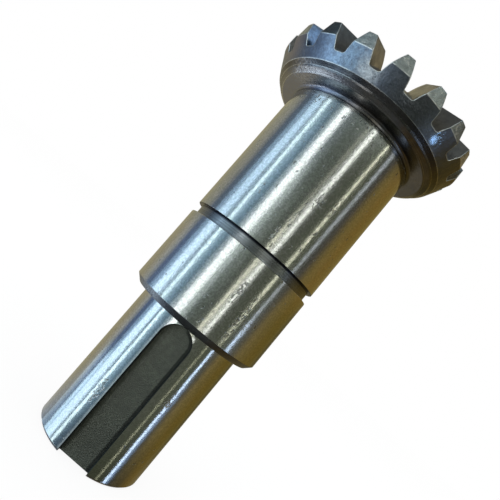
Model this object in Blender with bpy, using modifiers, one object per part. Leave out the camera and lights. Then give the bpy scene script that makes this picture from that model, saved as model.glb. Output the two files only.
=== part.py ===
"""Bevel pinion shaft of a right-angle gearbox, turned and cut from one steel forging.

It stands on its keyed end, with the shaft axis on +Z and the keyway facing -Y.
From the bottom up it has a keyed end, a rear bearing seat with a long lead-in
chamfer, a relief groove, a front bearing seat, and a straight bevel gear.
All lengths are in metres.
"""

import math

import bmesh
import bpy

# Keyed end
KEYED_DIAMETER = 0.0350
KEYED_LENGTH = 0.0462
END_CHAMFER = 0.0008
SHOULDER_FILLET = 0.0004

# Keyway, milled with an end mill from the shaft's end
KEYWAY_WIDTH = 0.0100
KEYWAY_DEPTH = 0.0034
KEYWAY_STOP = 0.0005  # metal left between the keyway's round end and the shoulder

# Bearing seats and the relief groove between them
SEAT_DIAMETER = 0.0450
REAR_SEAT_LENGTH = 0.0262
FRONT_SEAT_LENGTH = 0.0468  # up to the gear's back face
SEAT_CHAMFER = 0.0019
SEAT_EDGE_BREAK = 0.0003
GROOVE_WIDTH = 0.0032
GROOVE_DEPTH = 0.0014

# Relief and fillet where the front seat meets the gear's back
RELIEF_DEPTH = 0.00025
BACK_FILLET = 0.0012

# Straight bevel gear, 90 degrees between its shaft and its mate's
TEETH = 18
MATE_TEETH = 10
MODULE = 0.00375  # at the large end of the teeth
PRESSURE_ANGLE = math.radians(20)
ADDENDUM_FACTOR = 1.147  # addendum over module
DEDENDUM_FACTOR = 0.867
TOOTH_THICKENING = 1.08  # tooth thickness on the pitch circle, over half the pitch
FACE_WIDTH = 0.0130
ROOT_FILLET = 0.0008
CLOCKING = math.radians(-0.6)  # middle of the first tooth, from the keyway towards +X

# Gear blank
TIP_CORNER_CUT = 0.00194  # what the blank's outer cylinder takes off the teeth's radius
RIM_BELOW_ROOT = 0.00324  # along the back cone, from the tooth roots to the rim
BACK_CHAMFER_WIDTH = 0.0030  # from the rim in to the flat back face
BACK_CHAMFER_HEIGHT = 0.00238
BEAD_PLACE = 0.483  # the small step round the back chamfer, over its width
BEAD_STEP = 0.00025
FRONT_FACE_DROP = 0.0012  # front face below the toe end of the tooth roots

# Centre holes, one in each end
CENTRE_HALF_ANGLE = math.radians(30)
CENTRE_DRILL = 0.0040
CENTRE_MOUTH = 0.0085
CENTRE_DEPTH = 0.0090
DRILL_TIP_ANGLE = math.radians(59)

# Tooth-space cutters. Each runs past the metal on every open side
CUTTER_TOE = 0.85  # its inner end, over the toe's distance from the apex
CUTTER_HEEL = 1.15  # its outer end, over the heel's
CUTTER_HEIGHT = 1.3  # its height above the pitch cone, over the addendum

# Look of the metal in CAD views
STEEL_COLOUR = (0.56, 0.57, 0.58, 1)
STEEL_ROUGHNESS = 0.28

# Fineness
STEPS_PER_TOOTH = 6
ROOT_FILLET_ANGLES = (90, 55, 25)
ARC_STEPS = 4
KEYWAY_END_STEPS = 16
FLANK_STEPS = 4
SHARP_ANGLE = math.radians(25)
WELD = 1e-7

# Stations along the shaft, from its keyed end
KEYED_RADIUS = KEYED_DIAMETER / 2
SEAT_RADIUS = SEAT_DIAMETER / 2
RELIEF_RADIUS = SEAT_RADIUS - RELIEF_DEPTH
GROOVE_START = KEYED_LENGTH + REAR_SEAT_LENGTH
FRONT_SEAT_START = GROOVE_START + GROOVE_WIDTH
BACK_FACE = FRONT_SEAT_START + FRONT_SEAT_LENGTH

# Bevel geometry. The gear grows from its back face: first the rim, then the
# pitch circle up the back cone, then the pitch cone's apex on the shaft axis
ADDENDUM = ADDENDUM_FACTOR * MODULE
DEDENDUM = DEDENDUM_FACTOR * MODULE
PITCH_ANGLE = math.atan2(TEETH, MATE_TEETH)
PITCH_RADIUS = MODULE * TEETH / 2
RIM_HEIGHT = -(DEDENDUM + RIM_BELOW_ROOT)
PITCH_POINT = BACK_FACE + BACK_CHAMFER_HEIGHT - RIM_HEIGHT * math.sin(PITCH_ANGLE)
APEX = PITCH_POINT + PITCH_RADIUS / math.tan(PITCH_ANGLE)
CONE_DISTANCE = PITCH_RADIUS / math.sin(PITCH_ANGLE)
TOE_SCALE = 1 - FACE_WIDTH / CONE_DISTANCE
RIM_RADIUS = PITCH_RADIUS + RIM_HEIGHT * math.cos(PITCH_ANGLE)
BLANK_RADIUS = PITCH_RADIUS + ADDENDUM * math.cos(PITCH_ANGLE) - TIP_CORNER_CUT

# Chamfers and fillets, each no larger than the wall it is cut on allows
BACK_WALL = RIM_RADIUS - RELIEF_RADIUS
BACK_FACE_RADIUS = RIM_RADIUS - min(BACK_CHAMFER_WIDTH, BACK_WALL / 2)
BACK_CORNER = min(BACK_FILLET, (BACK_FACE_RADIUS - RELIEF_RADIUS) / 2)
SHOULDER_WALL = SEAT_RADIUS - KEYED_RADIUS
LEAD_IN = min(SEAT_CHAMFER, SHOULDER_WALL / 2)
SHOULDER_CORNER = min(SHOULDER_FILLET, (SHOULDER_WALL - LEAD_IN) / 2)


def on_back_cone(height):
    """Radius and station of a point of the back cone, by its height above the pitch circle."""
    return (
        PITCH_RADIUS + height * math.cos(PITCH_ANGLE),
        PITCH_POINT + height * math.sin(PITCH_ANGLE),
    )


def on_back_cone_at(radius):
    """The back cone's point at this radius."""
    return on_back_cone((radius - PITCH_RADIUS) / math.cos(PITCH_ANGLE))


def towards_apex(point, scale):
    """The point, drawn along its line to the apex: every line of a tooth runs there."""
    radius, station = point
    return radius * scale, APEX + (station - APEX) * scale


def tip_point_at(radius):
    """The tip cone's point at this radius."""
    tip = on_back_cone(ADDENDUM)
    return towards_apex(tip, radius / tip[0])


def arc(centre, radius, start, end, steps):
    """Points of an arc in the profile plane, its ends included, by angles in degrees."""
    angles = [math.radians(start + (end - start) * i / steps) for i in range(steps + 1)]
    return [
        (centre[0] + radius * math.cos(a), centre[1] + radius * math.sin(a))
        for a in angles
    ]


def centre_hole(face, inward):
    """Centre hole from its tip on the axis to its mouth; inward is -1 down into the shaft, +1 up."""
    drill, mouth = CENTRE_DRILL / 2, CENTRE_MOUTH / 2
    cone = (mouth - drill) / math.tan(CENTRE_HALF_ANGLE)
    tip = drill / math.tan(DRILL_TIP_ANGLE)
    return [
        (0, face + inward * (CENTRE_DEPTH + tip)),
        (drill, face + inward * CENTRE_DEPTH),
        (drill, face + inward * cone),
        (mouth, face),
    ]


def gear_blank_profile():
    """The gear's outline from its front face to its back face."""
    toe_root = towards_apex(on_back_cone(-DEDENDUM), TOE_SCALE)
    toe_tip = towards_apex(on_back_cone(ADDENDUM), TOE_SCALE)
    drop = FRONT_FACE_DROP
    rim = on_back_cone_at(RIM_RADIUS)
    chamfer_width = RIM_RADIUS - BACK_FACE_RADIUS
    slope = BACK_CHAMFER_HEIGHT / chamfer_width
    bead = BEAD_PLACE * chamfer_width
    bead_inner = BACK_FACE_RADIUS + bead
    bead_outer = bead_inner + BEAD_STEP
    return [
        (toe_root[0] - drop / math.tan(PITCH_ANGLE), toe_root[1] - drop),
        toe_tip,
        tip_point_at(BLANK_RADIUS),
        on_back_cone_at(BLANK_RADIUS),
        rim,
        (bead_outer, BACK_FACE + (bead + BEAD_STEP) * slope),
        (bead_inner, BACK_FACE + bead * slope - BEAD_STEP),
        (BACK_FACE_RADIUS, BACK_FACE),
    ]


def shaft_profile():
    """The seats, the groove and the keyed end, from the gear's back face down."""
    groove = SEAT_RADIUS - GROOVE_DEPTH
    edge = SEAT_EDGE_BREAK
    seat_end = BACK_FACE - BACK_CORNER
    back_centre = (RELIEF_RADIUS + BACK_CORNER, seat_end)
    back_fillet = arc(back_centre, BACK_CORNER, 90, 180, ARC_STEPS)
    corner = SHOULDER_CORNER
    shoulder_centre = (KEYED_RADIUS + corner, KEYED_LENGTH - corner)
    shoulder_fillet = arc(shoulder_centre, corner, 90, 180, ARC_STEPS)
    return [
        *back_fillet,
        (SEAT_RADIUS, seat_end - RELIEF_DEPTH),
        (SEAT_RADIUS, FRONT_SEAT_START + edge),
        (SEAT_RADIUS - edge, FRONT_SEAT_START),
        (groove, FRONT_SEAT_START),
        (groove, GROOVE_START),
        (SEAT_RADIUS - edge, GROOVE_START),
        (SEAT_RADIUS, GROOVE_START - edge),
        (SEAT_RADIUS, KEYED_LENGTH + LEAD_IN),
        (SEAT_RADIUS - LEAD_IN, KEYED_LENGTH),
        *shoulder_fillet,
        (KEYED_RADIUS, END_CHAMFER),
        (KEYED_RADIUS - END_CHAMFER, 0),
    ]


def turned_blank(name, collection):
    """The whole shaft as the lathe leaves it: one profile turned about Z."""
    gear = gear_blank_profile()
    profile = [
        *centre_hole(gear[0][1], -1),
        *gear,
        *shaft_profile(),
        *reversed(centre_hole(0, 1)),
    ]
    mesh = bpy.data.meshes.new(name)
    start = CLOCKING - math.pi / 2
    points = [(r * math.cos(start), r * math.sin(start), z) for r, z in profile]
    mesh.from_pydata(points, [(i, i + 1) for i in range(len(points) - 1)], [])
    blank = bpy.data.objects.new(name, mesh)
    collection.objects.link(blank)
    screw = blank.modifiers.new("Turned", "SCREW")
    screw.axis = "Z"
    screw.angle = 2 * math.pi
    screw.steps = screw.render_steps = TEETH * STEPS_PER_TOOTH
    screw.use_merge_vertices = True
    screw.merge_threshold = WELD
    return blank


def involute(angle):
    return math.tan(angle) - angle


def half_tooth(height):
    """Half the tooth's thickness as an angle about the shaft, at a height on the back cone.

    The back cone rolls out flat into a spur gear whose pitch radius is the
    back cone's length, and the flank is that gear's involute.
    """
    rolled_pitch = PITCH_RADIUS / math.cos(PITCH_ANGLE)
    base = rolled_pitch * math.cos(PRESSURE_ANGLE)
    rolled = rolled_pitch + height
    at_pitch = TOOTH_THICKENING * math.pi * MODULE / 4 / rolled_pitch
    flank = math.acos(min(1, base / rolled))
    angle = at_pitch + involute(PRESSURE_ANGLE) - involute(flank)
    return angle * rolled / on_back_cone(height)[0]


def gap_section():
    """One side of the space between two teeth: (angle from its middle, height), root first."""
    pitch = 2 * math.pi / TEETH
    low, high = ROOT_FILLET - DEDENDUM, CUTTER_HEIGHT * ADDENDUM
    wall = pitch / 2 - half_tooth(low)
    fillet = ROOT_FILLET / on_back_cone(low)[0]
    side = []
    for degrees in ROOT_FILLET_ANGLES:
        turn = math.radians(degrees)
        inward = fillet * (1 - math.cos(turn))
        side.append((wall - inward, low - ROOT_FILLET * math.sin(turn)))
    for i in range(FLANK_STEPS + 1):
        height = low + (high - low) * i / FLANK_STEPS
        side.append((pitch / 2 - half_tooth(height), height))
    return side


def tooth_gap_cutters(name, collection):
    """All the tooth spaces as one object: a loft for each, from inside the toe to past the heel."""
    side = gap_section()
    outline = [(-angle, height) for angle, height in reversed(side)] + side
    pitch = 2 * math.pi / TEETH
    mesh = bmesh.new()
    for tooth in range(TEETH):
        middle = CLOCKING + (tooth + 0.5) * pitch - math.pi / 2
        ends = []
        for scale in (TOE_SCALE * CUTTER_TOE, CUTTER_HEEL):
            ring = []
            for angle, height in outline:
                radius, station = towards_apex(on_back_cone(height), scale)
                x = radius * math.cos(middle + angle)
                y = radius * math.sin(middle + angle)
                ring.append(mesh.verts.new((x, y, station)))
            ends.append(ring)
        toe, heel = ends
        for i in range(len(outline)):
            j = (i + 1) % len(outline)
            mesh.faces.new((toe[i], toe[j], heel[j], heel[i]))
        mesh.faces.new(toe)
        mesh.faces.new(heel)
    bmesh.ops.recalc_face_normals(mesh, faces=mesh.faces)
    data = bpy.data.meshes.new(name)
    mesh.to_mesh(data)
    mesh.free()
    return cutter_object(name, data, collection)


def keyway_cutter(name, collection):
    """The path of the end mill: a slot outline, round at its inner end, as deep as the keyway."""
    half = KEYWAY_WIDTH / 2
    end = KEYED_LENGTH - KEYWAY_STOP - half
    outline = arc((0, end), half, 0, 180, KEYWAY_END_STEPS)
    outline += [(-half, -half), (half, -half)]
    curve = bpy.data.curves.new(name, "CURVE")
    curve.dimensions = "2D"
    curve.fill_mode = "BOTH"
    curve.extrude = KEYWAY_DEPTH
    spline = curve.splines.new("POLY")
    spline.points.add(len(outline) - 1)
    for point, (x, z) in zip(spline.points, outline):
        point.co = (x, z, 0, 1)
    spline.use_cyclic_u = True
    path = bpy.data.objects.new(name, curve)
    collection.objects.link(path)
    path.rotation_euler.x = math.pi / 2
    path.location.y = -KEYED_RADIUS
    bpy.context.view_layer.update()
    data = bpy.data.meshes.new_from_object(
        path.evaluated_get(bpy.context.evaluated_depsgraph_get())
    )
    matrix = path.matrix_world.copy()
    bpy.data.objects.remove(path)
    mesh = bmesh.new()
    mesh.from_mesh(data)
    bmesh.ops.remove_doubles(mesh, verts=mesh.verts, dist=WELD)
    bmesh.ops.recalc_face_normals(mesh, faces=mesh.faces)
    mesh.to_mesh(data)
    mesh.free()
    cutter = cutter_object(name, data, collection)
    cutter.matrix_world = matrix
    return cutter


def cutter_object(name, data, collection):
    cutter = bpy.data.objects.new(name, data)
    cutter.display_type = "WIRE"
    cutter.hide_render = True
    collection.objects.link(cutter)
    return cutter


def cut(body, cutter):
    boolean = body.modifiers.new(cutter.name, "BOOLEAN")
    boolean.operation = "DIFFERENCE"
    boolean.solver = "EXACT"
    boolean.object = cutter


def steel(name):
    material = bpy.data.materials.new(name)
    material.use_nodes = True
    shader = material.node_tree.nodes["Principled BSDF"]
    shader.inputs["Base Color"].default_value = STEEL_COLOUR
    shader.inputs["Metallic"].default_value = 1
    shader.inputs["Roughness"].default_value = STEEL_ROUGHNESS
    return material


def smooth_round_faces(body):
    """Sets the cut mesh in place of the blank, smooth where it is turned and crisp at its edges."""
    bpy.context.view_layer.update()
    data = bpy.data.meshes.new_from_object(
        body.evaluated_get(bpy.context.evaluated_depsgraph_get())
    )
    body.modifiers.clear()
    body.data = data
    data.shade_smooth()
    data.set_sharp_from_angle(angle=SHARP_ANGLE)


def new_collection(name):
    collection = bpy.data.collections.new(name)
    bpy.context.scene.collection.children.link(collection)
    return collection


def main():
    for old in list(bpy.data.objects):
        bpy.data.objects.remove(old)
    parts = new_collection("bevel_pinion_shaft")
    cutters = new_collection("cutters")
    shaft = turned_blank("pinion_shaft", parts)
    shaft.data.materials.append(steel("hardened_steel"))
    cut(shaft, tooth_gap_cutters("tooth_gaps", cutters))
    cut(shaft, keyway_cutter("keyway", cutters))
    smooth_round_faces(shaft)


main()
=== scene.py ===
# %% [markdown]
# # A bevel pinion shaft in ground and heat-marked steel
#
# The part is one forging, turned, toothed, hardened and then ground where it
# fits bearings and a coupling. This notebook loads its solid model as a frame,
# works the fine surface out again with numpy, gives each kind of steel on it a
# finish of its own, and lights it with a few soft strip lights.

import math

import bmesh
import bpy
import numpy as np
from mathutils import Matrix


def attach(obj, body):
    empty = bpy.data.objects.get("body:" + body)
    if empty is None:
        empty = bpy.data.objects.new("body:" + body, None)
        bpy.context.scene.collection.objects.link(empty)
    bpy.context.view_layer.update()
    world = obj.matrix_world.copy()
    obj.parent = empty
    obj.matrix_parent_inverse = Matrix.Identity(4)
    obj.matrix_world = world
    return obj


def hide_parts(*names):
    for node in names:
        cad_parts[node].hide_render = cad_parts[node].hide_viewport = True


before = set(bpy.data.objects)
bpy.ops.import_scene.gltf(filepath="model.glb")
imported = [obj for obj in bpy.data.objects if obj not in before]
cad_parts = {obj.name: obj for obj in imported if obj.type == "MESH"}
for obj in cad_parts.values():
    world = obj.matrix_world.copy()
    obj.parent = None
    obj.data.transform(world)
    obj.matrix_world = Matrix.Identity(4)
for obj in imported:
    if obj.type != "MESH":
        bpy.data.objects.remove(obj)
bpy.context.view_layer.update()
MM = 0.001

# %% [markdown]
# ## The camera
#
# The picture was taken from close by, a little over 14 cm from the shaft's
# axis, with a moderately wide lens and the shaft lying slantwise across the
# frame. The camera's place was worked out from the outlines of the seats and
# of eight teeth. It is written here as an eye, a target close to the shaft's
# axis, and a roll about the line between them.

# %% Camera
EYE = np.array((3.61, -142.64, 61.05)) * MM
TARGET = np.array((-1.07, -0.04, 74.74)) * MM
ROLL = math.radians(40.42)
LENS, SENSOR_WIDTH = 33.1, 36  # mm


def unit(vector):
    """The vector at length one."""
    return vector / np.linalg.norm(vector)


def looking_from(eye, target, roll):
    """A camera's axes: level right and up for the line of sight, then both turned by the roll."""
    sight = unit(target - eye)
    level_right = unit(np.cross(sight, (0, 0, 1)))
    level_up = np.cross(level_right, sight)
    right = math.cos(roll) * level_right + math.sin(roll) * level_up
    up = np.cross(right, sight)
    matrix = np.eye(4)
    matrix[:3, 0], matrix[:3, 1], matrix[:3, 2], matrix[:3, 3] = right, up, -sight, eye
    return matrix


camera = bpy.data.objects.new("camera", bpy.data.cameras.new("camera"))
bpy.context.scene.collection.objects.link(camera)
camera.matrix_world = looking_from(EYE, TARGET, ROLL).T
camera.data.lens = LENS
camera.data.sensor_width = SENSOR_WIDTH
camera.data.clip_start = 1 * MM
bpy.context.scene.camera = camera
print("camera is", round(np.linalg.norm(EYE[:2]) / MM, 1), "mm from the axis")

# %% [markdown]
# ## The tooth form
#
# A straight bevel tooth is a cone of straight lines that all meet in one point,
# the apex. So its whole shape is known once its outline is drawn on the back
# cone, the cone that closes the tooth's large end. Rolled out flat, the back
# cone is nearly a spur gear, and the outline there is an ordinary involute.
# An outline kept as angle and height can be bent back round the cone exactly.

# %% Sizes of the gear, in metres
TEETH, MATE_TEETH = 18, 10
MODULE = 3.75 * MM
PRESSURE_ANGLE = math.radians(20)
ADDENDUM, DEDENDUM = 1.147 * MODULE, 0.867 * MODULE
THICKENING = 1.08  # tooth thickness on the pitch circle, over half the pitch
FACE_WIDTH = 13.0 * MM
CLOCKING = math.radians(-0.6)  # middle of the first tooth, from the keyway
BACK_RING = 122.4  # mm; station of the flat ring on the gear's back
RIM_STATION = BACK_RING * MM + 2.38 * MM
RIM_HEIGHT = -(DEDENDUM + 3.24 * MM)  # on the back cone, from the pitch circle
TIP_CORNER_CUT = 1.94 * MM  # what the blank's outer cylinder takes off the tips

PITCH = 2 * math.pi / TEETH
PITCH_ANGLE = math.atan2(TEETH, MATE_TEETH)
PITCH_RADIUS = MODULE * TEETH / 2
PITCH_POINT = RIM_STATION - RIM_HEIGHT * math.sin(PITCH_ANGLE)
APEX = PITCH_POINT + PITCH_RADIUS / math.tan(PITCH_ANGLE)
CONE_DISTANCE = PITCH_RADIUS / math.sin(PITCH_ANGLE)
TOE = 1 - FACE_WIDTH / CONE_DISTANCE
CROWN_HEIGHT = ADDENDUM - TIP_CORNER_CUT / math.cos(PITCH_ANGLE)
BLANK_RADIUS = PITCH_RADIUS + CROWN_HEIGHT * math.cos(PITCH_ANGLE)
print("pitch cone", round(math.degrees(PITCH_ANGLE), 2), "degrees, toe at", round(TOE, 3), "of the heel")

# %% Involute outline on the back cone


def back_cone(height):
    """Radius and station on the back cone: the pitch circle plus height times the cone's direction."""
    return (
        PITCH_RADIUS + height * math.cos(PITCH_ANGLE),
        PITCH_POINT + height * math.sin(PITCH_ANGLE),
    )


def half_tooth(height):
    """Half a tooth's angle: that at the pitch circle, plus inv(20 deg), minus inv of the flank's angle here.

    inv(a) is tan(a) - a, and cos(a) is the base circle's radius over the radius at this height.
    """
    rolled_pitch = PITCH_RADIUS / math.cos(PITCH_ANGLE)
    rolled = rolled_pitch + height
    flank = np.arccos(np.minimum(1, rolled_pitch * math.cos(PRESSURE_ANGLE) / rolled))
    at_pitch = THICKENING * math.pi * MODULE / 4 / rolled_pitch
    start = math.tan(PRESSURE_ANGLE) - PRESSURE_ANGLE
    return (at_pitch + start - (np.tan(flank) - flank)) * rolled / back_cone(height)[0]


def turn_corner(before, corner, after, steps):
    """A soft corner: (1-t)^2 before + 2t(1-t) corner + t^2 after, on one new axis of t from 0 to 1."""
    before, corner, after = (np.asarray(point, float)[None] for point in (before, corner, after))
    t = np.linspace(0, 1, steps).reshape((steps,) + (1,) * (before.ndim - 1))
    return (1 - t) ** 2 * before + 2 * t * (1 - t) * corner + t**2 * after


# %% One pitch of outline, and the columns round the shaft
ROOT_CUT, TIP_CUT = 0.8 * MM, 0.22 * MM  # lengths of the soft corners at root and tip
ROOT_STEPS, FLANK_STEPS, TIP_STEPS, LAND_STEPS = 6, 8, 4, 4


def tooth_outline():
    """One pitch of outline as (angle, height, wear), from the middle of a space up over a tooth to the next."""
    root_radius, tip_radius = back_cone(-DEDENDUM)[0], back_cone(ADDENDUM)[0]
    root_wall, tip_wall = half_tooth(-DEDENDUM), half_tooth(ADDENDUM)
    low, high = ROOT_CUT - DEDENDUM, ADDENDUM - TIP_CUT
    root = turn_corner(
        (root_wall + ROOT_CUT / root_radius, -DEDENDUM),
        (root_wall, -DEDENDUM),
        (half_tooth(low), low),
        ROOT_STEPS,
    )
    heights = np.linspace(low, high, FLANK_STEPS)[1:-1]
    flank = np.stack([half_tooth(heights), heights], 1)
    tip = turn_corner(
        (half_tooth(high), high),
        (tip_wall, ADDENDUM),
        (tip_wall - TIP_CUT / tip_radius, ADDENDUM),
        TIP_STEPS,
    )
    land = np.stack([np.linspace(tip[-1, 0], 0, LAND_STEPS)[1:], np.full(LAND_STEPS - 1, ADDENDUM)], 1)
    floor = np.array([(PITCH / 2, -DEDENDUM)])
    rising = np.concatenate([floor, root, flank, tip, land]) * (-1, 1)
    wear = np.zeros(len(rising))
    wear[-len(land) - TIP_STEPS + 1 : -len(land) - 1] = 1
    rising = np.column_stack([rising, wear])
    return np.concatenate([rising, rising[-2:0:-1] * (-1, 1, 1)])


one = tooth_outline()
turns = CLOCKING - math.pi / 2 + PITCH * np.arange(TEETH)
AROUND = (turns[:, None] + one[None, :, 0]).ravel()
HEIGHT = np.tile(one[:, 1], TEETH)
TIP_WEAR = np.tile(one[:, 2], TEETH)
COLUMNS = len(AROUND)
print(COLUMNS, "columns round the shaft,", len(one), "for each tooth")

# %% [markdown]
# ## Ends of the teeth
#
# The lathe cut the gear's blank before the teeth were cut, so every tooth ends
# on a turned surface: the back cone, and above it a short cylinder, the crown.
# Where two cut surfaces meet there is a fine worn edge, and that edge is what
# catches the light. Each edge here is a real strip a fifth of a millimetre
# wide. Its inner side is the outline moved into the surface along its normal.

# %% Heel surface and its edge
EDGE = 0.2 * MM  # width of a worn edge
EDGE_STEPS = 4
CROWN_ALONG = CROWN_HEIGHT - RIM_HEIGHT


def rows_of(radius, station, angle):
    """Rows of points in space from radius, station and angle, each broadcast to rows by columns."""
    radius, station, angle = np.broadcast_arrays(radius, station, angle)
    return np.stack([radius * np.cos(angle), radius * np.sin(angle), station], -1)


def heel_surface(along):
    """Radius and station of the turned heel: up the back cone from the rim, round a soft corner, up the crown."""
    corner = back_cone(CROWN_HEIGHT)
    t = np.clip((along - CROWN_ALONG + EDGE) / (2 * EDGE), 0, 1)
    low = back_cone(RIM_HEIGHT + np.minimum(along, CROWN_ALONG - EDGE))
    high = corner[1] + np.maximum(along - CROWN_ALONG, EDGE)
    radius = (1 - t) ** 2 * low[0] + 2 * t * (1 - t) * corner[0] + t**2 * BLANK_RADIUS
    station = (1 - t) ** 2 * low[1] + 2 * t * (1 - t) * corner[1] + t**2 * high
    return radius, station


def outline_moved_in(height, radius):
    """The outline moved into the end surface by one edge width, as new angles and heights."""
    across = one[:, 0] * radius
    x = np.concatenate([across - PITCH * radius, across, across + PITCH * radius])
    y = np.tile(height, 3)
    dx, dy = np.roll(x, -1) - np.roll(x, 1), np.roll(y, -1) - np.roll(y, 1)
    length = np.hypot(dx, dy)
    middle = slice(len(across), 2 * len(across))
    angle = (across + EDGE * (dy / length)[middle]) / radius
    return (turns[:, None] + angle[None]).ravel(), np.tile(height - EDGE * (dx / length)[middle], TEETH)


# %% Where each line of a tooth meets the turned heel
radius_at_heel, station_at_heel = back_cone(HEIGHT)
HEEL = np.minimum(1, BLANK_RADIUS / radius_at_heel)
heel_radius = radius_at_heel * HEEL
heel_station = APEX + (station_at_heel - APEX) * HEEL
ALONG = np.where(
    HEIGHT < CROWN_HEIGHT,
    HEIGHT - RIM_HEIGHT,
    CROWN_ALONG + heel_station - back_cone(CROWN_HEIGHT)[1],
)
heel_angle, heel_along = outline_moved_in(ALONG[: len(one)], PITCH_RADIUS)
print("crown is", round((ALONG.max() - CROWN_ALONG) / MM, 2), "mm high")

# %% [markdown]
# ## Rows of the gear
#
# Each row below runs once round the gear, with the same columns in every row.
# The heel's rows stop early where they would pass the edge of a tooth space.
# The teeth's own rows are the outline drawn towards the apex in a few steps.
# Each row also carries a number for wear: one along the middle of an edge.

# %% Heel, flanks, toe
BELOW_TEETH = 2.4 * MM  # rows of the back cone, from the rim up
CONE_ROWS = [BELOW_TEETH, 3.4 * MM, 5.0 * MM]
FRONT_DROP = 1.2 * MM  # front face below the toe end of the tooth roots
LINE_STEPS, TOE_STEPS = 5, 4
FRONT_HEIGHT = -DEDENDUM - FRONT_DROP / math.sin(PITCH_ANGLE) / TOE


def scaled_cone(height, scale):
    """A point of the back cone drawn towards the apex."""
    radius, station = back_cone(height)
    return radius * scale, APEX + (station - APEX) * scale


def edge_wear(steps):
    """Wear across a soft corner: 4t(1-t), nothing at its sides and one in its middle."""
    t = np.linspace(0, 1, steps)
    return 4 * t * (1 - t)


def gear_rows():
    """The gear as blocks of rows: (points, wear, zone) for heel, crown, edges, flanks and toe."""
    bend = EDGE * np.linspace(-1, 1, 5)
    cone_levels = np.concatenate([CONE_ROWS, CROWN_ALONG + bend[:3]])
    cone_levels = np.minimum(cone_levels[:, None], heel_along[None])
    crown_levels = np.minimum(CROWN_ALONG + bend[2:, None], heel_along[None])
    above = np.maximum(heel_along - CROWN_ALONG - EDGE, 0) * np.linspace(0.34, 1, 3)[:, None]
    crown_levels = np.concatenate([crown_levels, crown_levels[-1] + above])[1:]
    cone = rows_of(*heel_surface(cone_levels), heel_angle)
    crown = rows_of(*heel_surface(crown_levels), heel_angle)

    slip = EDGE / CONE_DISTANCE
    corner = rows_of(heel_radius, heel_station, AROUND)
    flank_start = rows_of(*scaled_cone(HEIGHT, HEEL - slip), AROUND)
    heel_edge = turn_corner(crown[-1], corner, flank_start, EDGE_STEPS)[1:]

    scales = HEEL - slip + (TOE + slip - HEEL + slip) * np.linspace(0, 1, LINE_STEPS)[1:, None]
    lines = rows_of(*scaled_cone(HEIGHT, scales), AROUND)

    toe_angle, toe_height = outline_moved_in(one[:, 1] * TOE, PITCH_RADIUS * TOE)
    toe_height = toe_height / TOE
    down = FRONT_HEIGHT + (toe_height - FRONT_HEIGHT) * np.linspace(1, 0.25, TOE_STEPS)[:, None]
    toe = rows_of(*scaled_cone(down, TOE), toe_angle)
    toe_edge = turn_corner(lines[-1], rows_of(*scaled_cone(HEIGHT, TOE), AROUND), toe[0], EDGE_STEPS)[1:]

    # the corner between cone and crown is worn only where a tooth reaches up to it
    over_cone = (heel_along > CROWN_ALONG)[None] * np.array([0, 0, 0, 0, 0.6, 1])[:, None]
    over_crown = (heel_along > CROWN_ALONG)[None] * np.array([0.6, 0, 0, 0, 0])[:, None]
    across_edge = np.repeat(edge_wear(EDGE_STEPS)[1:, None], COLUMNS, 1)
    on_lines = np.repeat(TIP_WEAR[None], len(lines), 0)
    return [
        (cone, over_cone, CONE),
        (crown, over_crown, CROWN),
        (heel_edge, across_edge, FLANK),
        (lines, on_lines, FLANK),
        (toe_edge, across_edge, FLANK),
        (toe[1:], np.zeros(toe[1:].shape[:2]), FACE),
    ]


ZONE_NAMES = ["ground", "scale", "back", "cone", "crown", "flank", "face", "keyway"]
GROUND, SCALE, BACK, CONE, CROWN, FLANK, FACE, KEYWAY = range(len(ZONE_NAMES))
gear_blocks = gear_rows()
print("rows in the gear:", [len(block[0]) for block in gear_blocks])

# %% [markdown]
# ## The turned shaft
#
# Everything below the rim is one profile turned round the axis: a chamfered
# end, the keyed journal, a shoulder, two bearing seats with a groove between
# them where the grinding wheel runs out, and a fillet into the gear's back.
# The profile is written as corners, each with the length that its soft corner
# takes from both its sides, so a crisp edge and a fillet are the same thing.

# %% Profile of the shaft
DRILL, MOUTH, DRILL_DEPTH = 2, 4.25, 9  # the centre holes' radii and depth, in mm
HOLE_TIP = DRILL_DEPTH + DRILL / math.tan(math.radians(59))
HOLE_CONE = (MOUTH - DRILL) / math.tan(math.radians(30))
RIM = np.array(back_cone(RIM_HEIGHT)) / MM
ABOVE_RIM = np.array(heel_surface(BELOW_TEETH * 0.6)) / MM
FRONT = np.array(scaled_cone(FRONT_HEIGHT, TOE)) / MM
JOURNAL, SEAT, GROOVE, RELIEF = 17.5, 22.5, 21.1, 22.25  # radii in mm
SHOULDER, GROOVE_LOW, GROOVE_HIGH = 46.2, 72.4, 75.6  # stations in mm
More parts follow.
